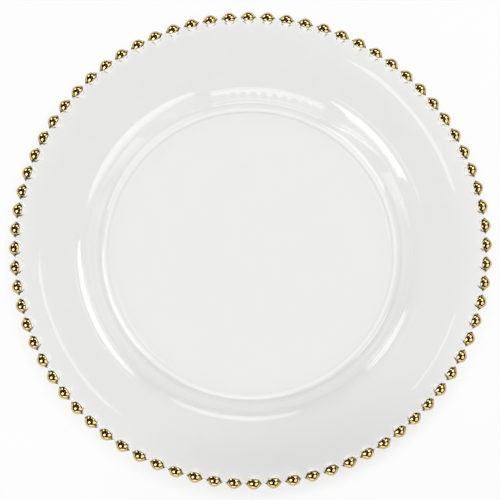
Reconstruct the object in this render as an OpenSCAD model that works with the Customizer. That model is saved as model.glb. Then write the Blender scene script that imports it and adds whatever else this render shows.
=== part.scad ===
// Clear pressed-glass charger plate with a beaded, gold-plated edge.
// Millimetres, +Z up. The origin is the middle of the circle on which the foot ring stands.
// The glass is one pressing on the real plate. Here its zones are separate solids that meet face to face:
// flat well, foot ring under it, side wall, shoulder, broad rim and lip, and the beads on the lip's edge.

/* [Plate] */
// Diameter of the plate over its beads
plate_d = 330; // [300:1:360]
// Height of the beads' centres over the floor of the well
rim_rise = 20; // [17:0.5:26]
// Thickness of the pressed glass
glass_t = 4; // [3:0.1:5]

/* [Well and wall] */
// Radius of the inside corner where the floor turns up into the wall
cove_r = 8; // [6:0.5:10]
// Slope of the side wall
wall_angle = 50; // [44:1:58]
// Radius of the corner under the shoulder
shoulder_r = 13; // [10:0.5:16]

/* [Rim] */
// Width of the rim's straight part, between the shoulder and the sweep
rim_w = 17.3; // [14:0.1:22]
// Slope of the broad rim
rim_angle = 6; // [3:0.5:8]
// Slope of the lip that carries the beads
lip_angle = 16; // [12:0.5:20]
// Radius of the gentle sweep that turns the rim up into the lip
sweep_r = 60; // [40:1:80]
// Width of the lip, from the middle of the sweep to the beads' centres
lip_w = 16; // [14:0.5:20]

/* [Foot] */
// Height of the foot ring under the floor
foot_h = 1.2; // [0.8:0.1:2]
// Width of the foot ring
foot_w = 3; // [2:0.1:4]
// Rounding of the foot ring's lower edges
foot_edge_r = 0.5; // [0.3:0.1:0.8]
// Distance from the floor's edge out to the middle of the foot ring
foot_out = 2.5; // [2:0.1:3.5]

/* [Beads] */
// Diameter of a bead over its gold
bead_d = 9; // [8:0.1:11]
// Space between two neighbouring beads
bead_gap = 4.2; // [3:0.1:6]
// Thickness of the gold on a bead
gold_t = 0.25; // [0.2:0.01:0.4]
// How far the gold reaches past a bead's centre, inwards along the lip
gold_reach = 0.8; // [0.3:0.1:1.5]
// Angle of the first bead from the X axis
bead_turn = 4; // [0:0.5:8]

/* [Hidden] */
// Overrun of a cut past what it cuts
cut_over = 1;
// Steps in which each bend of the profile turns
bend_steps = 12;
// Steps and turn of the lip's half-round end
edge_steps = 6;
edge_turn = 180;
// Clearance between the straight slot in a bead and the round lip in it
seat_gap = 0.02;
round_fn = 180;
bead_fn = 48;
full_turn = 360;

floor_z = foot_h + glass_t;
bead_ring_r = (plate_d - bead_d) / 2;
bead_z = floor_z + rim_rise;
bead_pitch = bead_d + bead_gap;
bead_count = floor(2 * PI * bead_ring_r / bead_pitch);
bead_r = bead_d / 2;
// The glass core of a bead carries the gold on its outside.
core_r = bead_r - gold_t;

// The lip ends in a half round whose outermost point lies on the circle of the beads' centres.
edge_r = bead_ring_r - glass_t / 2;
lip_end_r = edge_r - glass_t / 2 * sin(lip_angle);
lip_end_z = bead_z + glass_t / 2 * cos(lip_angle);
sweep_run = sweep_r * (sin(lip_angle) - sin(rim_angle));
sweep_end_r = bead_ring_r - lip_w + sweep_run / 2;
lip_len = (lip_end_r - sweep_end_r) / cos(lip_angle);

// The straight of the wall is as long as the rise from floor to lip leaves for it,
// and the floor is as wide as the rim and the wall leave it.
crest_r = shoulder_r + glass_t;
bends_run = cove_r * sin(wall_angle) + crest_r * (sin(wall_angle) - sin(rim_angle));
bends_rise = cove_r * (1 - cos(wall_angle)) + crest_r * (cos(rim_angle) - cos(wall_angle));
sweep_rise = sweep_r * (cos(rim_angle) - cos(lip_angle));
rim_len = rim_w / cos(rim_angle);
slopes_rise = rim_len * sin(rim_angle) + lip_len * sin(lip_angle);
wall_rise = lip_end_z - floor_z - bends_rise - sweep_rise - slopes_rise;
wall_len = wall_rise / sin(wall_angle);
well_r = sweep_end_r - sweep_run - rim_w - wall_len * cos(wall_angle) - bends_run;

// A station is [radius, height, slope] on the top side of the glass.
// Stations of a bend that starts at s and turns to slope a; r is negative where it turns downwards.
function bend(s, r, a) = [
    for (i = [0 : bend_steps])
        let (b = s[2] + (a - s[2]) * i / bend_steps)
            [s[0] + r * (sin(b) - sin(s[2])), s[1] + r * (cos(s[2]) - cos(b)), b]
];
// The station that lies a length further along the slope of s.
function onward(s, length) = [s[0] + length * cos(s[2]), s[1] + length * sin(s[2]), s[2]];
// The point of the top side at a station, and the one square under it on the underside.
function top_point(s) = [s[0], s[1]];
function under_point(s) = [s[0] + glass_t * sin(s[2]), s[1] - glass_t * cos(s[2])];
function top_points(stations) = [for (s = stations) top_point(s)];
function under_points(stations) = [for (i = [len(stations) - 1 : -1 : 0]) under_point(stations[i])];

cove_line = bend([well_r, floor_z, 0], cove_r, wall_angle);
wall_end = onward(cove_line[bend_steps], wall_len);
shoulder_line = bend(wall_end, -crest_r, rim_angle);
rim_start = shoulder_line[bend_steps];
sweep_line = bend(onward(rim_start, rim_len), sweep_r, lip_angle);
lip_start = sweep_line[bend_steps];

// Half section of a zone of the glass between its first and last station.
module band(stations) {
    polygon(concat(top_points(stations), under_points(stations)));
}

// Outline of the lip with its half-round end, standing a gap proud of the glass all round.
function lip_points(gap) = concat(
    [top_point(lip_start) + gap * [-sin(lip_angle), cos(lip_angle)]],
    [
        for (i = [0 : edge_steps])
            let (a = lip_angle + edge_turn * (1 / 2 - i / edge_steps))
                [edge_r, bead_z] + (glass_t / 2 + gap) * [cos(a), sin(a)]
    ],
    [under_point(lip_start) - gap * [-sin(lip_angle), cos(lip_angle)]]
);

// Carries what is drawn round a bead's centre, with +X outwards, to that bead's place on the circle.
module bead_place(i) {
    rotate([0, 0, bead_turn + full_turn * i / bead_count])
        translate([bead_ring_r, 0, bead_z]) children();
}

// Draws a half section of the plate through a bead's centre, and carries it straight across the bead.
module across_bead() {
    rotate([90, 0, 0]) linear_extrude(height = 2 * bead_d, center = true) children();
}

// Half section of the slot in a bead that the lip fills.
module lip_slot() {
    translate([-bead_ring_r, -bead_z]) polygon(lip_points(seat_gap));
}

// The glass of one bead, without the part that the lip fills.
module glass_bead() {
    difference() {
        sphere(r = core_r, $fn = bead_fn);
        across_bead() lip_slot();
    }
}

// The film of gold round the outer side of a bead.
module gold_cap() {
    difference() {
        sphere(r = bead_r, $fn = bead_fn);
        sphere(r = core_r, $fn = bead_fn);
        across_bead() {
            rotate(lip_angle) translate([-gold_reach - bead_d, -bead_d]) square([bead_d, 2 * bead_d]);
            lip_slot();
        }
    }
}

module well() {
    color("aliceblue") translate([0, 0, foot_h]) cylinder(r = well_r, h = glass_t, $fn = round_fn);
}

module foot_ring() {
    foot_mid = well_r + foot_out;
    blank_h = foot_h + glass_t;
    color("lightblue") rotate_extrude($fn = round_fn) difference() {
        union() {
            translate([foot_mid - foot_w / 2, foot_edge_r]) square([foot_w, blank_h - foot_edge_r]);
            translate([foot_mid - foot_w / 2 + foot_edge_r, 0]) square([foot_w - 2 * foot_edge_r, blank_h]);
            for (side = [-1, 1])
                translate([foot_mid + side * (foot_w / 2 - foot_edge_r), foot_edge_r])
                    circle(r = foot_edge_r, $fn = bead_fn);
        }
        // Everything above the underside of the wall.
        polygon(concat(
            under_points(concat(cove_line, [wall_end])),
            [[well_r, blank_h + cut_over], [wall_end[0] + glass_t, blank_h + cut_over]]
        ));
    }
}

module side_wall() {
    color("azure") rotate_extrude($fn = round_fn) band(concat(cove_line, [wall_end]));
}

module shoulder() {
    color("lightcyan") rotate_extrude($fn = round_fn) band(shoulder_line);
}

module rim() {
    color("aliceblue") rotate_extrude($fn = round_fn) band(concat([rim_start], sweep_line));
}

module lip() {
    color("azure") rotate_extrude($fn = round_fn) polygon(lip_points(0));
}

module glass_beads() {
    color("lightcyan") for (i = [0 : bead_count - 1]) bead_place(i) glass_bead();
}

module gold_caps() {
    color("goldenrod") for (i = [0 : bead_count - 1]) bead_place(i) gold_cap();
}

well();
foot_ring();
side_wall();
shoulder();
rim();
lip();
glass_beads();
gold_caps();
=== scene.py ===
"""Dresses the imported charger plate: one pressing of clear glass, and a gold film on each bead of its edge.

Lengths in the property groups are in metres, angles in radians. Every shape is worked out in millimetres
round the plate's axis, and is turned into metres when its mesh is made.
"""

import math

import bpy
import numpy as np
from mathutils import Matrix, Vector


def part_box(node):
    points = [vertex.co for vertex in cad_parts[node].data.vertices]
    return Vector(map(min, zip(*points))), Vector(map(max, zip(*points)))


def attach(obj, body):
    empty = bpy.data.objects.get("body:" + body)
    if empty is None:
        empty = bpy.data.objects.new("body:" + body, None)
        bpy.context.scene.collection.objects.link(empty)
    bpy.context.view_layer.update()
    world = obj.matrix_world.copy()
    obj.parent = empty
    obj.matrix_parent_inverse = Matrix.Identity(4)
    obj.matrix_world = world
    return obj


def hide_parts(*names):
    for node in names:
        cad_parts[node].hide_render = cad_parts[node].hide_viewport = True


bl_info = {
    "name": "Charger plate",
    "version": (1, 0, 0),
    "blender": (4, 5, 0),
    "location": "View3D > Sidebar > Charger plate",
    "description": "Clear pressed-glass charger plate with gold beads, and the table it stands on",
    "category": "Add Mesh",
}

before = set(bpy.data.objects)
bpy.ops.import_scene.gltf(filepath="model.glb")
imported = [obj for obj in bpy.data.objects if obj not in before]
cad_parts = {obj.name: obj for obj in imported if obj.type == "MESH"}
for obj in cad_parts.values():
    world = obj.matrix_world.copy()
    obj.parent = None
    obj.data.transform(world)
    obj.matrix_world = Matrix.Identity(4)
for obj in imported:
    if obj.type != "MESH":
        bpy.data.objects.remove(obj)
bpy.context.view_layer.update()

MM = 0.001
GLASS_NODES = ("well", "foot_ring", "side_wall", "shoulder", "rim", "lip", "glass_beads")
PLATE_D = 2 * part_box("gold_caps")[1].x
FOOT_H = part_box("well")[0].z
GLASS_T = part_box("well")[1].z - FOOT_H
WELL_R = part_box("well")[1].x

# Diameter of a bead in the solids, in millimetres. It sets the circle of the beads' centres.
SOLID_BEAD_D = 9
# Stations in the bends of the half section: the cove and the shoulder, and the sweep.
BEND_STEPS, SWEEP_STEPS = 12, 8
# Length of the lip's straight, in millimetres, that is drawn with the beads.
EDGE_RUN = 4.4
# Rings of the flat floor, in FLOOR_PARTS of its radius: on the top side outwards, on the underside inwards.
FLOOR_PARTS = 99
FLOOR_TOP = np.array([8, 30, 55, 80, 96, 98.6])
FLOOR_UNDER = np.array([96, 92, 70, 45, 22, 8])
# The foot is flat over its width / FOOT_FLAT to either side of its middle, and its inner side runs FOOT_RUN
# widths. Each of its sides has FOOT_STATIONS.
FOOT_FLAT, FOOT_RUN, FOOT_STATIONS = 3, 1.1, 13
# Columns over the ball of a bead, and the places of those on a pointed end, from its tip to the ball.
BALL_COLUMNS = 13
TIP_SHARES = (1, 0.68, 0.34)
# Columns round the beaded edge for each column of the rest of the glass.
FINE = 5
# Turns against the lip at which the edge's section is drawn, from the top side round to the underside.
EDGE_TURNS = np.radians(np.linspace(150, -160, 42))
# A bead's section leaves its outer side's radius at the first turn against the lip, and has its inner side's
# radius after the second turn more.
SECTION_START, SECTION_TURN = math.radians(10), math.radians(70)
# Rounding between the lip and a bead in millimetres. It fades to LEAST_FADE of that on the pointed ends,
# where the bead's radius comes down to THIN_BEAD of half the lip's thickness.
BLEND, THIN_BEAD, LEAST_FADE = 0.3, 0.5, 0.001
# Least divisor of a straight side's reach, in directions that hardly meet that side.
LEAST_SINE = 0.1
# A gold film reaches this share of the tip length, and is drawn in FILM_ROWS round its bead.
FILM_END, FILM_ROWS = 0.98, 15

# Places on the table in radii of the well, each where a share begins and ends: the rim's outside the clear
# floor's, which is painted lighter, the inner and the outer side of the painted dark ring under the wall, and
# that ring's on the side that is painted darker.
RIM_SHADE, RING_IN, RING_OUT, RING_SIDE = (0.9, 1.1), (1.0, 1.1), (1.14, 1.24), (0.0, 1.0)
# The shade painted at the plate's edge on one side begins at this share of the well's radius.
EDGE_SHADE = 0.95
# The open table's shade begins and ends at these shares of the plate's diameter.
OPEN_TABLE = (0.49, 0.53)
# Half the side of the table, in metres.
TABLE_HALF = 3.0


def length(name, description, default):
    """A length that a user may change, in metres."""
    return bpy.props.FloatProperty(
        name=name, description=description, default=default, min=0.0, unit="LENGTH", subtype="DISTANCE"
    )


def angle(name, description, degrees):
    """An angle that a user may change."""
    return bpy.props.FloatProperty(
        name=name, description=description, default=math.radians(degrees), unit="ROTATION", subtype="ANGLE"
    )


def share(name, description, default):
    """A share from 0 to 1."""
    return bpy.props.FloatProperty(
        name=name, description=description, default=default, min=0.0, max=1.0, subtype="FACTOR"
    )


def colour(name, description, hex_value):
    """A colour, given as an sRGB hex value and kept linear."""
    values = {"default": linear(hex_value), "size": 3, "min": 0.0, "max": 1.0}
    return bpy.props.FloatVectorProperty(name=name, description=description, subtype="COLOR", **values)


def linear(hex_value):
    """Linear red, green and blue of an sRGB hex value such as E8B84F.

    A channel c gives c / 12.92 up to 0.04045, and ((c + 0.055) / 1.055)^2.4 above it.
    """
    shares = (int(hex_value[i : i + 2], 16) / 255 for i in (0, 2, 4))
    return tuple(c / 12.92 if c <= 0.04045 else ((c + 0.055) / 1.055) ** 2.4 for c in shares)


class PlateSizes(bpy.types.PropertyGroup):
    """Sizes of the glass."""

    plate_d: length("Plate diameter", "Over the beads", PLATE_D)
    glass_t: length("Glass thickness", "Thickness of the pressing", GLASS_T)
    well_r: length("Well radius", "Radius of the flat floor", WELL_R)
    rim_rise: length("Rim rise", "Height of the beads' centres over the floor", 20 * MM)
    cove_r: length("Cove radius", "Inside corner between floor and wall", 8 * MM)
    crest_r: length("Crest radius", "Top side of the shoulder", 17 * MM)
    sweep_r: length("Sweep radius", "Gentle bend from rim to lip", 60 * MM)
    lip_w: length("Lip width", "From the middle of the sweep to the beads' centres", 16 * MM)
    wall_angle: angle("Wall angle", "Slope of the side wall", 50)
    rim_angle: angle("Rim angle", "Slope of the broad rim", 6)
    lip_angle: angle("Lip angle", "Slope of the lip", 16)
    foot_h: length("Foot height", "Height of the foot ring under the floor", FOOT_H)
    foot_w: length("Foot width", "Width of the foot ring", 3 * MM)
    foot_out: length("Foot distance", "From the floor's edge to the middle of the foot ring", 2.5 * MM)


class BeadSizes(bpy.types.PropertyGroup):
    """Sizes of the beads and of the gold on them."""

    count: bpy.props.IntProperty(
        name="Beads", description="Number of beads round the edge", default=76, min=3
    )
    turn: angle("First bead", "Angle of the first bead from the X axis", 4)
    bead_d: length("Bead diameter", "Over the gold", 8.98 * MM)
    tip: length("Tip length", "Half length of a bead with its pointed ends, on the outer side", 6.15 * MM)
    inner_tip: length("Inner tip length", "On the inner side, where a bead runs out into the lip", 11 * MM)
    flank_top: angle("Upper flank", "Slope against the lip at which a bead's top side runs out inwards", 30)
    flank_under: angle("Lower flank", "The same on the underside", 27)
    film_t: length("Gold thickness", "Thickness at which the film is drawn", 0.1 * MM)
    reach: length("Gold reach", "How far the gold comes inwards past a bead's centre", 1.0 * MM)
    tilt: angle("Gold tilt", "Slope of the line square to the plane in which the gold ends", 22)


class PlateColours(bpy.types.PropertyGroup):
    """Colours and finishes of the glass and the gold."""

    glass: colour("Glass", "Tint of the clear glass", "FBFBF9")
    gold: colour("Gold", "Bright gold", "DEC88E")
    gold_deep: colour("Deep gold", "Thicker places of the gold", "C8AB66")
    gold_rough: share("Gold roughness", "Roughness of the polished gold", 0.04)
    glass_rough: share("Glass roughness", "Roughness of the fire-polished glass", 0.0)


class StageSettings(bpy.types.PropertyGroup):
    """The table, the lamps and the camera."""

    floor: colour("Table", "Colour of the table", "FAFAFA")
    shade: share("Table shade", "Share of the table's colour that takes light and shadow", 0.16)
    open_shade: share("Open table's shade", "Part of that share which is left away from the plate", 0.25)
    # Painted light: a smaller share under the well's floor paints the table lighter there.
    painted_well_light_share: share("Table shade in the well", "The share under the flat floor of the well", 0.07)
    # Painted shade: on this side the table is painted darker at the plate's edge.
    painted_shade_side: angle("Dark side", "Direction from the X axis in which the table takes more shade", 292)
    painted_edge_shade: share("Dark side's shade", "Added to the share at the plate's edge on that side", 0.18)
    # Painted shade: a darker ring on the table under the wall, on that side.
    painted_ring_shade: share("Ring's shade", "Added to the share in the ring under the wall on that side", 0.1)
    band: share("Band", "Strength of the lighter band on the walls of the room", 0.03)
    band_low: angle("Band's lower edge", "Above the table", 22)
    band_high: angle("Band's upper edge", "Above the table", 60)
    room: share("Room light", "Strength of the grey room round the lamps", 0.012)
    lamp: bpy.props.FloatProperty(
        name="Lamps", description="Brightness of the softboxes", default=4.6, min=0.0
    )


def node(tree, kind, links=None, **settings):
    """Adds a shader node. links maps its input sockets to output sockets or plain values."""
    made = tree.nodes.new(kind)
    for name, value in settings.items():
        setattr(made, name, value)
    for name, value in (links or {}).items():
        if isinstance(value, bpy.types.NodeSocket):
            tree.links.new(value, made.inputs[name])
        else:
            made.inputs[name].default_value = value
    return made


def blank_material(name):
    """A new material with an empty node tree and its output node."""
    material = bpy.data.materials.new(name)
    material.use_nodes = True
    material.node_tree.nodes.clear()
    return material, material.node_tree, material.node_tree.nodes.new("ShaderNodeOutputMaterial")


def ring_angles(beads, offsets):
    """Angles of the columns: every bead's own angle plus the angles of the columns across one bead."""
    own = beads.turn + 2 * np.pi * np.arange(beads.count) / beads.count
    return (own[:, None] + offsets[None, :]).ravel()


def bead_columns(beads, pitch):
    """Distances along the edge, from a bead's centre, of the twenty columns that draw one bead.

    They are the middle of the gap, three on each pointed end, and s = R sin t over the ball for equal
    steps of t.
    """
    radius, tip = beads.bead_d / 2 / MM, beads.tip / MM
    touch = radius**2 / tip
    ball = radius * np.sin(np.linspace(-1, 1, BALL_COLUMNS) * math.asin(touch / radius))
    end = touch + (tip - touch) * np.array(TIP_SHARES)
    return np.concatenate([[-pitch / 2], -end, ball, end[::-1]])


def bead_radius(s, radius, tip):
    """Radius of a bead's round section at distance s along the edge.

    It is the ball's sqrt(R^2 - s^2) up to s = R^2 / tip. From there the cone that touches the ball runs to
    the tip.
    """
    ball = np.sqrt(np.clip(radius**2 - s**2, 0, None))
    cone = radius / math.sqrt(tip**2 - radius**2) * np.clip(tip - np.abs(s), 0, None)
    return np.where(np.abs(s) < radius**2 / tip, ball, cone)


def section_radius(s, turn, profile, beads):
    """Radius of a bead's section at distance s, in the direction turn from the middle of the half-round edge.

    It goes from the outer side's radius to the inner side's by (1 - cos t) / 2, as the turn against the lip
    grows past SECTION_START by SECTION_TURN.
    """
    ball = (beads.bead_d - beads.film_t) / 2 / MM
    turned = np.clip((np.abs(turn - profile.slope) - SECTION_START) / SECTION_TURN, 0, 1)
    inner = (1 - np.cos(np.pi * turned)) / 2
    outer_radius, inner_radius = (bead_radius(s, ball, tip / MM) for tip in (beads.tip, beads.inner_tip))
    return outer_radius + inner * (inner_radius - outer_radius)


def larger(a, b, blend):
    """The larger of a and b, rounded where they are within blend of each other.

    It is max + (blend - |a - b|)^2 / (4 blend).
    """
    near = np.clip(blend - np.abs(a - b), 0, None)
    return np.maximum(a, b) + near**2 / (4 * blend)


def edge_reach(turn, s, profile, beads):
    """Distance from the middle of the half-round edge to the surface, in the direction turn, at distance s.

    The lip alone gives h, or h / |sin(turn - slope)| over its straight sides, h being half its thickness.
    The bead's circle of radius R, whose centre lies h further out, gives
    h cos(turn) + sqrt(R^2 - h^2 sin^2(turn)). Inwards of the points where the flanks touch the circle, a
    flank whose normal has the direction n gives (R + h cos(n)) / cos(turn - n).
    """
    radius = section_radius(s, turn, profile, beads)
    half = profile.half
    own = turn - profile.slope
    lip = np.where(np.abs(own) <= np.pi / 2, half, half / np.maximum(np.abs(np.sin(own)), LEAST_SINE))
    inside = radius**2 - (half * np.sin(turn)) ** 2
    bead = half * np.cos(turn) + np.sign(inside) * np.sqrt(np.abs(inside))
    for side, flank in ((1, beads.flank_top), (-1, beads.flank_under)):
        normal = profile.slope + side * (np.pi / 2 + flank)
        line = (radius + half * math.cos(normal)) / np.maximum(np.cos(turn - normal), LEAST_SINE)
        touch = np.arctan2(radius * math.sin(normal), half + radius * math.cos(normal))
        bead = np.where(side * (turn - touch) > 0, line, bead)
    return larger(lip, bead, BLEND * np.clip(radius / half - THIN_BEAD, LEAST_FADE, 1))


class Profile:
    """Half section of the plate in millimetres, as stations (radius, height, slope) on the top side."""

    def __init__(self, plate, beads):
        self.half = plate.glass_t / MM / 2
        self.slope = plate.lip_angle
        self.ring_r = (plate.plate_d / MM - SOLID_BEAD_D) / 2
        self.floor_z = (plate.foot_h + plate.glass_t) / MM
        self.bead_z = self.floor_z + plate.rim_rise / MM
        self.edge_r = self.ring_r - self.half
        crest, cove, sweep = plate.crest_r / MM, plate.cove_r / MM, plate.sweep_r / MM
        sin, cos = math.sin, math.cos
        wall, rim, lip = plate.wall_angle, plate.rim_angle, plate.lip_angle
        well_r = plate.well_r / MM
        sweep_run = sweep * (sin(lip) - sin(rim))
        sweep_end = self.ring_r - plate.lip_w / MM + sweep_run / 2
        lip_end = self.edge_r - self.half * sin(lip)
        lip_rise = (lip_end - sweep_end) * math.tan(lip)
        rise = self.bead_z + self.half * cos(lip) - self.floor_z - lip_rise
        rise -= sweep * (cos(rim) - cos(lip)) + cove * (1 - cos(wall)) + crest * (cos(rim) - cos(wall))
        run = sweep_end - sweep_run - well_r - cove * sin(wall) - crest * (sin(wall) - sin(rim))
        # The wall and the rim share what is left of the run and the rise.
        wall_len = (rise - run * math.tan(rim)) / (sin(wall) - cos(wall) * math.tan(rim))
        rim_len = (run - wall_len * cos(wall)) / cos(rim)
        lip_len = (lip_end - sweep_end) / cos(lip) - EDGE_RUN
        # The stations of a straight stand close to its ends, where it meets the bends.
        self.cove = bend((well_r, self.floor_z, 0.0), cove, wall, BEND_STEPS)
        wall_line = straight(self.cove[-1], wall_len, (0.04, 0.5, 0.96, 1))
        crest_line = bend(wall_line[-1], -crest, rim, BEND_STEPS)
        rim_line = straight(crest_line[-1], rim_len, (0.03, 0.35, 0.7, 0.97, 1))
        sweep_line = bend(rim_line[-1], sweep, lip, SWEEP_STEPS)
        lip_line = straight(sweep_line[-1], lip_len, (0.08, 0.6))
        lines = [self.cove, wall_line, crest_line[1:], rim_line, sweep_line[1:], lip_line]
        self.top = np.vstack(lines)
        down = np.column_stack([np.sin(self.top[:, 2]), -np.cos(self.top[:, 2])])
        self.under = self.top[:, :2] + 2 * self.half * down


def bend(start, radius, slope, steps):
    """Stations of an arc, for slopes a from that of the start, a0, to slope.

    They are r = r0 + R (sin a - sin a0) and z = z0 + R (cos a0 - cos a).
    """
    a = np.linspace(start[2], slope, steps + 1)
    r = start[0] + radius * (np.sin(a) - math.sin(start[2]))
    z = start[1] + radius * (math.cos(start[2]) - np.cos(a))
    return np.column_stack([r, z, a])


def straight(start, reach, shares):
    """Stations at the given shares of a straight of that length along the slope of start."""
    t = reach * np.asarray(shares)
    r, z = start[0] + t * math.cos(start[2]), start[1] + t * math.sin(start[2])
    return np.column_stack([r, z, 0 * t + start[2]])


def add_mesh(name, points, faces, material, nodes):
    """Makes a smooth piece of the plate on the root body, from points in millimetres and face arrays."""
    mesh = bpy.data.meshes.new(name)
    sizes = np.concatenate([np.full(len(f), f.shape[1]) for f in faces]).astype(np.int32)
    corners = np.concatenate([f.ravel() for f in faces]).astype(np.int32)
    mesh.vertices.add(len(points))
    mesh.vertices.foreach_set("co", (points * MM).astype(np.float32).ravel())
    mesh.loops.add(len(corners))
    mesh.loops.foreach_set("vertex_index", corners)
    mesh.polygons.add(len(sizes))
    mesh.polygons.foreach_set("loop_start", np.concatenate([[0], np.cumsum(sizes)[:-1]]).astype(np.int32))
    mesh.polygons.foreach_set("use_smooth", np.ones(len(sizes), bool))
    mesh.update(calc_edges=True)
    if mesh.validate():
        raise RuntimeError(f"the mesh of {name} was not sound")
    mesh.materials.append(material)
    piece = bpy.data.objects.new(name, mesh)
    bpy.context.scene.collection.objects.link(piece)
    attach(piece, "root")
    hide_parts(*nodes)


def strip(first, second):
    """Quads between two closed rings of equal length, given as arrays of point numbers."""
    return np.column_stack([first, second, np.roll(second, -1), np.roll(first, -1)])


def cells(grid):
    """Quads between the neighbours in a grid of point numbers."""
    return np.stack([grid[:-1, :-1], grid[1:, :-1], grid[1:, 1:], grid[:-1, 1:]], -1).reshape(-1, 4)


def border(grid):
    """The point numbers round the outside of a grid, as one closed ring."""
    return np.concatenate([grid[0, :-1], grid[:-1, -1], grid[-1, :0:-1], grid[:0:-1, 0]])


def stations_under(profile, plate):
    """Underside of the glass from the lip inwards, with the foot ring as a soft ridge under the well's edge.

    From the floor it comes down as h (1 - cos pi t) / 2. From the flat of the foot it sweeps out into the
    wall as the cubic z = z1 (3 t^2 - 2 t^3) + w tan(wall angle) (t^3 - t^2), over a run w that ends at the
    height z1.
    """
    last = len(profile.cove) - 1
    mid, flat = (plate.well_r + plate.foot_out) / MM, plate.foot_w / FOOT_FLAT / MM
    t = np.linspace(0, 1, FOOT_STATIONS)
    fall = plate.foot_h / MM * (1 - np.cos(np.pi * t)) / 2
    inner = np.column_stack([mid - flat - FOOT_RUN * plate.foot_w / MM * t, fall])
    out = t[::-1]
    wall_r, wall_z = profile.under[last]
    run = wall_r - mid - flat
    rise = wall_z * (3 * out**2 - 2 * out**3) + run * math.tan(plate.wall_angle) * (out**3 - out**2)
    outer = np.column_stack([mid + flat + run * out, rise])
    floor_r = FLOOR_UNDER / FLOOR_PARTS * plate.well_r / MM
    floor = np.column_stack([floor_r, 0 * floor_r + plate.foot_h / MM])
    return np.vstack([profile.under[:last:-1], outer, inner, floor])


def glass_mesh(plate, beads):
    """Points and faces of the glass, one closed surface.

    Inside the beads it is a surface of revolution of the profile. Round the edge the section changes with
    the distance s from the nearest bead's centre: point = E + d(turn, s) (cos turn, sin turn), with E the
    middle of the half-round edge and d the reach of the lip or the bead, whichever is larger.
    """
    profile = Profile(plate, beads)
    pitch = 2 * np.pi * profile.ring_r / beads.count
    s = bead_columns(beads, pitch)
    fine = ring_angles(beads, s / profile.ring_r)
    coarse = fine[::FINE]
    turns = profile.slope + EDGE_TURNS
    reach = np.tile(edge_reach(turns[:, None], s[None, :], profile, beads), beads.count)
    edge_r = profile.edge_r + reach * np.cos(turns)[:, None]
    edge_z = profile.bead_z + reach * np.sin(turns)[:, None]
    floor_r = FLOOR_TOP / FLOOR_PARTS * plate.well_r / MM
    floor = np.column_stack([floor_r, 0 * floor_r + profile.floor_z])
    points, count = [], 0

    def add_ring(r, z, angles):
        """Adds a closed ring of points; r and z are numbers or one value for each column."""
        nonlocal count
        points.append(np.column_stack([r * np.cos(angles), r * np.sin(angles), z + 0 * angles]))
        ring = np.arange(count, count + len(angles))
        count += len(angles)
        return ring

    top_rings = [add_ring(r, z, coarse) for r, z in np.vstack([floor, profile.top[:, :2]])]
    edge_rings = [add_ring(r, z, fine) for r, z in zip(edge_r, edge_z)]
    under_rings = [add_ring(r, z, coarse) for r, z in stations_under(profile, plate)]
    poles = np.array([[0, 0, profile.floor_z], [0, 0, plate.foot_h / MM]])
    quads = [strip(a, b) for rings in (top_rings, edge_rings, under_rings) for a, b in zip(rings, rings[1:])]
    # A face that joins a coarse ring to the edge has two corners on the one and FINE + 1 on the other.
    joins = []
    for coarse_ring, edge_ring, side in (
        (top_rings[-1], edge_rings[0], 1),
        (under_rings[0], edge_rings[-1], -1),
    ):
        run = np.concatenate([edge_ring, edge_ring[:1]])
        window = np.column_stack([run[i : len(edge_ring) + i : FINE] for i in range(FINE + 1)])
        face = np.column_stack([coarse_ring, window, np.roll(coarse_ring, -1)])
        joins.append(face[:, ::side])
    first, last = top_rings[0], under_rings[-1]
    fans = [
        np.column_stack([np.full(len(first), count), first, np.roll(first, -1)]),
        np.column_stack([np.full(len(last), count + 1), np.roll(last, -1), last]),
    ]
    return np.vstack(points + [poles]), [np.vstack(quads), np.vstack(joins), np.vstack(fans)]


def film_mesh(plate, beads):
    """Points and faces of the gold films, one thin closed shell round the outer side of each bead.

    A film is the bead's own surface between two turns about the middle of the half-round edge, half the
    film's thickness to either side of the glass. It ends at a tilted plane, which lies the gold's reach
    inside the bead's centre, and at the pointed ends where the bead leaves the half round, at a turn of
    2 asin(r / 2h).
    """
    profile = Profile(plate, beads)
    # The columns of the glass, less the gap's, with the tips' own brought in to the film's ends.
    s = bead_columns(beads, 2 * np.pi * profile.ring_r / beads.count)[2:-1]
    end = FILM_END * beads.tip / MM
    s = np.concatenate([[-end], s, [end]])
    radius = bead_radius(s, (beads.bead_d - beads.film_t) / 2 / MM, beads.tip / MM)
    half_turn = np.arccos(np.clip(-beads.reach / MM / radius, -1, 1))
    leave = 2 * np.arcsin(np.clip(radius / (2 * profile.half), 0, 1))
    limits = []
    for side in (1, -1):
        at = beads.tilt + side * half_turn
        cut = np.arctan2(radius * np.sin(at), profile.half + radius * np.cos(at))
        limits.append(side * np.minimum(side * cut, leave))
    turns = limits[1] + np.linspace(1, 0, FILM_ROWS)[:, None] * (limits[0] - limits[1])
    reach = edge_reach(turns, s[None, :], profile, beads)
    skins = []
    for side in (0.5, -0.5):
        out = reach + side * beads.film_t / MM
        r, z = profile.edge_r + out * np.cos(turns), profile.bead_z + out * np.sin(turns)
        skins.append(np.stack([r, s + 0 * out, z], -1).reshape(-1, 3))
    own = np.concatenate(skins)
    outer = np.arange(turns.size).reshape(turns.shape)
    inner = outer + turns.size
    quads = np.vstack([cells(outer), cells(inner)[:, ::-1], strip(border(inner), border(outer))])
    phi = ring_angles(beads, own[:, 1] / profile.ring_r)
    r, z = (np.tile(own[:, axis], beads.count) for axis in (0, 2))
    points = np.column_stack([r * np.cos(phi), r * np.sin(phi), z])
    step = (len(own) * np.arange(beads.count))[:, None, None]
    return points, [(quads[None] + step).reshape(-1, 4)]


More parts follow.
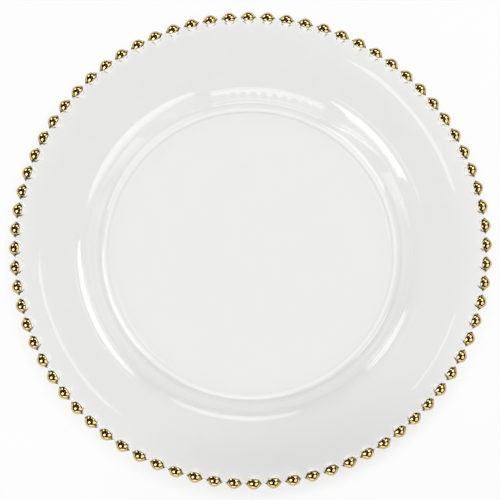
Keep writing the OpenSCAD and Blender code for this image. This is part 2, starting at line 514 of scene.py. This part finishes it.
def pressed_glass(colours):
    """Soda-lime glass, pressed and fire-polished: clear and mirror smooth, with a faint ripple."""
    material, tree, output = blank_material("soda_lime_glass_fire_polished")
    place = node(tree, "ShaderNodeTexCoord").outputs["Object"]
    # The mould leaves waves some 25 mm long and a few thousandths of a millimetre high.
    ripple = node(tree, "ShaderNodeTexNoise", {"Vector": place, "Scale": 40.0, "Detail": 1.0})
    height = {"Height": ripple.outputs["Fac"], "Strength": 0.3, "Distance": 0.00005}
    bump = node(tree, "ShaderNodeBump", height)
    surface = node(
        tree,
        "ShaderNodeBsdfPrincipled",
        {
            "Base Color": (*colours.glass, 1),
            "Roughness": colours.glass_rough,
            "IOR": 1.52,
            "Transmission Weight": 1.0,
            "Normal": bump.outputs["Normal"],
        },
    )
    tree.links.new(surface.outputs["BSDF"], output.inputs["Surface"])
    return material


def bright_gold(colours):
    """Bright gold, brushed on as a liquid and fired: mirror bright, deeper where the liquid lay thicker."""
    material, tree, output = blank_material("bright_gold_fired_on_glass")
    place = node(tree, "ShaderNodeTexCoord").outputs["Object"]
    # Brush marks and thicker places are about 3 mm apart.
    cloud = node(tree, "ShaderNodeTexNoise", {"Vector": place, "Scale": 330.0, "Detail": 3.0})
    golds = {0: cloud.outputs["Fac"], 6: (*colours.gold, 1), 7: (*colours.gold_deep, 1)}
    tint = node(tree, "ShaderNodeMix", golds, data_type="RGBA")
    # Handling dulls the film in specks of about half a millimetre.
    wear = node(tree, "ShaderNodeTexNoise", {"Vector": place, "Scale": 1800.0, "Detail": 2.0})
    rough = node(
        tree,
        "ShaderNodeMapRange",
        {
            "Value": wear.outputs["Fac"],
            "To Min": 0.6 * colours.gold_rough,
            "To Max": 1.6 * colours.gold_rough,
        },
    )
    surface = node(
        tree,
        "ShaderNodeBsdfPrincipled",
        {"Base Color": tint.outputs[2], "Metallic": 1.0, "Roughness": rough.outputs["Result"]},
    )
    tree.links.new(surface.outputs["BSDF"], output.inputs["Surface"])
    return material


def ramp(tree, value, start, end, low, high):
    """Smooth ramp of a value, from low at start to high at end."""
    limits = {"From Min": start, "From Max": end, "To Min": low, "To Max": high}
    made = node(tree, "ShaderNodeMapRange", {"Value": value, **limits}, interpolation_type="SMOOTHSTEP")
    return made.outputs["Result"]


def math_node(tree, operation, first, second):
    """Result of a sum, difference, product or maximum of two values."""
    return node(tree, "ShaderNodeMath", {0: first, 1: second}, operation=operation).outputs[0]


def table_top(stage):
    """Matt white table. The camera, glass and metal see it white, less a share that takes light and shadow.

    Painted light and shade: the share is made smaller under the flat floor of the well, which paints the
    table lighter there, as if light fell through the floor. It grows towards the plate's edge on one side,
    and in a ring under the wall on that side, which paints shade there, as if the wall bent the light away.
    Away from the plate it is smaller again.
    """
    material, tree, output = blank_material("matt_white_laminate")
    spot = node(tree, "ShaderNodeTexCoord").outputs["Object"]
    side = (math.cos(stage.painted_shade_side), math.sin(stage.painted_shade_side), 0)
    radius = node(tree, "ShaderNodeVectorMath", {0: spot}, operation="LENGTH").outputs["Value"]
    across = node(tree, "ShaderNodeVectorMath", {0: spot, 1: side}, operation="DOT_PRODUCT").outputs["Value"]

    def well_ramp(value, places, low, high):
        """Ramp of a distance between two places that are given in radii of the well."""
        return ramp(tree, value, places[0] * WELL_R, places[1] * WELL_R, low, high)

    # Painted light: the smaller share under the well's floor paints the table lighter there.
    rim = well_ramp(radius, RIM_SHADE, stage.painted_well_light_share, stage.shade)
    # Painted shade: a larger share towards the plate's edge on one side paints the table darker there.
    edge = ramp(tree, across, EDGE_SHADE * WELL_R, PLATE_D / 2, 0.0, stage.painted_edge_shade)
    # Painted shade: a larger share in a ring under the wall, on that side, paints a darker ring.
    ring_in = well_ramp(radius, RING_IN, 0.0, stage.painted_ring_shade)
    ring = math_node(tree, "MULTIPLY", ring_in, well_ramp(radius, RING_OUT, 1.0, 0.0))
    ring = math_node(tree, "MULTIPLY", ring, well_ramp(across, RING_SIDE, 0.0, 1.0))
    near = math_node(tree, "ADD", rim, math_node(tree, "ADD", edge, ring))
    begin, end = (part * PLATE_D for part in OPEN_TABLE)
    beside = ramp(tree, radius, begin, end, 1.0, stage.open_shade)
    shaded = math_node(tree, "MULTIPLY", near, beside)
    path = node(tree, "ShaderNodeLightPath").outputs
    seen = math_node(tree, "MAXIMUM", path["Is Camera Ray"], path["Is Glossy Ray"])
    seen = math_node(tree, "MAXIMUM", seen, path["Is Transmission Ray"])
    white = math_node(tree, "MULTIPLY", seen, math_node(tree, "SUBTRACT", 1.0, shaded))
    matt = node(tree, "ShaderNodeBsdfDiffuse", {"Color": (*stage.floor, 1)})
    glow = node(tree, "ShaderNodeEmission", {"Color": (1, 1, 1, 1), "Strength": 1.0})
    shaders = {"Fac": white, 1: matt.outputs["BSDF"], 2: glow.outputs["Emission"]}
    both = node(tree, "ShaderNodeMixShader", shaders)
    tree.links.new(both.outputs["Shader"], output.inputs["Surface"])
    return material


def room(stage):
    """A dark room whose walls are lighter in a band between two heights above the table."""
    world = bpy.data.worlds.new("room")
    world.use_nodes = True
    tree = world.node_tree
    direction = node(tree, "ShaderNodeTexCoord").outputs["Generated"]
    up = node(tree, "ShaderNodeSeparateXYZ", {0: direction}).outputs["Z"]
    low, high = math.sin(stage.band_low), math.sin(stage.band_high)
    third = (high - low) / 3
    rising = ramp(tree, up, low, low + third, 0.0, stage.band)
    band = math_node(tree, "MULTIPLY", rising, ramp(tree, up, high - third, high, 1.0, 0.0))
    background = tree.nodes["Background"]
    background.inputs["Color"].default_value = (1, 1, 1, 1)
    tree.links.new(math_node(tree, "ADD", stage.room, band), background.inputs["Strength"])
    return world


def place(item, across, up, back, spot):
    """Puts an object at spot with its local axes along across, up and back."""
    matrix = np.eye(4)
    matrix[:3, 0], matrix[:3, 1], matrix[:3, 2], matrix[:3, 3] = across, up, back, spot
    item.matrix_world = Matrix(matrix)


# Each softbox: its shape, its azimuth from the X axis and the half of its breadth in degrees, its lower and
# its upper edge in degrees above the table, and its brightness. They face the plate from LAMP_DISTANCE.
SOFTBOXES = (
    ("RECTANGLE", 221, 16, 23, 36, 0.45),
    ("RECTANGLE", 221, 19, 36, 60, 0.85),
    ("ELLIPSE", 42, 18, 22, 40, 0.3),
    ("ELLIPSE", 42, 22, 40, 58, 0.95),
    ("ELLIPSE", 145, 12, 14, 29, 1.0),
    ("ELLIPSE", 334, 30, 18, 60, 0.36),
    ("ELLIPSE", 92, 18, 28, 47, 0.6),
    ("RECTANGLE", 272, 24, 2, 18, 0.5),
)
LAMP_DISTANCE = 1.45
# Each bar light over the table: the x and y of its two ends, its height and its breadth in metres, and its
# brightness.
BARS = (
    ((-0.249, 0.108), (-0.163, -0.169), 1.4, 0.1, 0.27),
    ((0.263, 0.282), (0.143, 0.46), 1.4, 0.1, 0.25),
    ((-0.29, 0.43), (-0.335, 0.29), 1.4, 0.05, 0.28),
)
# The camera: metres from the middle of the beads' circle, degrees above the table, and degrees of roll.
CAMERA_DISTANCE, CAMERA_ELEVATION, CAMERA_ROLL = 1.4, 81.1, 8.17
# The picture's side in pixels, the millimetres in a pixel at that middle, and the shift of the picture in
# pixels.
PIXELS, PIXEL_MM, SHIFT_X, SHIFT_Y = 500, 0.6825, -1.08, -3.49
SENSOR_MM = 36


class BuildGlass(bpy.types.Operator):
    """Make the glass pressing with its beaded edge."""

    bl_idname = "charger.build_glass"
    bl_label = "Glass plate"

    def execute(self, context):
        scene = context.scene
        points, faces = glass_mesh(scene.plate_sizes, scene.bead_sizes)
        glass = pressed_glass(scene.plate_colours)
        add_mesh("glass_plate", points, faces, glass, GLASS_NODES)
        return {"FINISHED"}


class BuildGold(bpy.types.Operator):
    """Make the gold films on the beads."""

    bl_idname = "charger.build_gold"
    bl_label = "Gold films"

    def execute(self, context):
        scene = context.scene
        points, faces = film_mesh(scene.plate_sizes, scene.bead_sizes)
        gold = bright_gold(scene.plate_colours)
        add_mesh("gold_films", points, faces, gold, ("gold_caps",))
        return {"FINISHED"}


class BuildStage(bpy.types.Operator):
    """Make the table, the lamps and the camera."""

    bl_idname = "charger.build_stage"
    bl_label = "Stage"

    def execute(self, context):
        scene = context.scene
        stage = scene.stage_settings
        mesh = bpy.data.meshes.new("table")
        corners = [(x * TABLE_HALF, y * TABLE_HALF, 0) for x, y in ((-1, -1), (1, -1), (1, 1), (-1, 1))]
        mesh.from_pydata(corners, [], [(0, 1, 2, 3)])
        mesh.materials.append(table_top(stage))
        table = bpy.data.objects.new("table", mesh)
        scene.collection.objects.link(table)
        for i, softbox in enumerate(SOFTBOXES):
            self.add_softbox(scene, f"softbox_{i}", *softbox)
        for i, bar in enumerate(BARS):
            self.add_bar(scene, f"bar_{i}", *bar)
        scene.world = room(stage)
        self.add_camera(scene)
        scene.view_settings.view_transform = "Standard"
        return {"FINISHED"}

    def add_softbox(self, scene, name, shape, azimuth, spread, low, high, brightness):
        """A softbox between two elevations, which faces the middle of the table."""
        a, e = math.radians(azimuth), math.radians((low + high) / 2)
        middle = LAMP_DISTANCE * np.array([math.cos(a) * math.cos(e), math.sin(a) * math.cos(e), math.sin(e)])
        width = 2 * LAMP_DISTANCE * math.cos(e) * math.tan(math.radians(spread))
        height = 2 * LAMP_DISTANCE * math.tan(math.radians(high - low) / 2)
        across = np.array([-math.sin(a), math.cos(a), 0])
        self.add_lamp(scene, name, shape, middle, across, width, height, brightness)

    def add_bar(self, scene, name, start, end, height, width, brightness):
        """A level bar light between two points over the table, which faces the middle of the table."""
        start, end = np.array([*start, height]), np.array([*end, height])
        middle, across = (start + end) / 2, end - start
        self.add_lamp(scene, name, "RECTANGLE", middle, across, np.linalg.norm(across), width, brightness)

    def add_lamp(self, scene, name, shape, middle, across, width, height, brightness):
        """An area lamp at middle with its width along across, turned towards the middle of the table."""
        lamp = bpy.data.lights.new(name, "AREA")
        lamp.shape, lamp.size, lamp.size_y = shape, width, height
        # An area lamp of radiance L sends out pi L watts from each square metre. An ellipse fills pi / 4 of
        # its box.
        area = width * height * (math.pi / 4 if shape == "ELLIPSE" else 1)
        lamp.energy = math.pi * scene.stage_settings.lamp * brightness * area
        item = bpy.data.objects.new(name, lamp)
        scene.collection.objects.link(item)
        back = middle / np.linalg.norm(middle)
        up = np.cross(back, across)
        up /= np.linalg.norm(up)
        place(item, np.cross(up, back), up, back, middle)

    def add_camera(self, scene):
        """A long lens over the table, rolled a little, which looks at the middle of the beads' circle."""
        plate = scene.plate_sizes
        elevation, roll = math.radians(CAMERA_ELEVATION), math.radians(CAMERA_ROLL)
        target = np.array([0, 0, plate.foot_h + plate.glass_t + plate.rim_rise])
        back = np.array([0, -math.cos(elevation), math.sin(elevation)])
        up = np.cross(back, (1, 0, 0))
        across = np.array([math.cos(roll), 0, 0]) + math.sin(roll) * up
        data = bpy.data.cameras.new("camera")
        data.sensor_width = SENSOR_MM
        data.lens = SENSOR_MM * CAMERA_DISTANCE / (PIXELS * PIXEL_MM * MM)
        data.shift_x, data.shift_y = SHIFT_X / PIXELS, SHIFT_Y / PIXELS
        camera = bpy.data.objects.new("camera", data)
        scene.collection.objects.link(camera)
        place(camera, across, np.cross(back, across), back, target + CAMERA_DISTANCE * back)
        scene.camera = camera


class ChargerPanel(bpy.types.Panel):
    """Sizes, colours and the operators of the charger plate."""

    bl_idname = "VIEW3D_PT_charger_plate"
    bl_label = "Charger plate"
    bl_space_type = "VIEW_3D"
    bl_region_type = "UI"
    bl_category = "Charger plate"

    def draw(self, context):
        for group in (getattr(context.scene, name) for name in GROUPS):
            box = self.layout.box()
            for name in group.bl_rna.properties.keys():
                if name not in ("name", "rna_type"):
                    box.prop(group, name)
        for operator in OPERATORS:
            self.layout.operator(operator.bl_idname)


GROUPS = {
    "plate_sizes": PlateSizes,
    "bead_sizes": BeadSizes,
    "plate_colours": PlateColours,
    "stage_settings": StageSettings,
}
OPERATORS = (BuildGlass, BuildGold, BuildStage)
CLASSES = (*GROUPS.values(), *OPERATORS, ChargerPanel)


def register():
    """Registers the classes and hangs the property groups on the scene."""
    for item in CLASSES:
        bpy.utils.register_class(item)
    for name, group in GROUPS.items():
        setattr(bpy.types.Scene, name, bpy.props.PointerProperty(type=group))


def unregister():
    """Takes the property groups and the classes away again."""
    for name in GROUPS:
        delattr(bpy.types.Scene, name)
    for item in reversed(CLASSES):
        bpy.utils.unregister_class(item)


def main():
    """Builds everything in order."""
    register()
    bpy.ops.charger.build_glass()
    bpy.ops.charger.build_gold()
    bpy.ops.charger.build_stage()


if __name__ == "__main__":
    main()
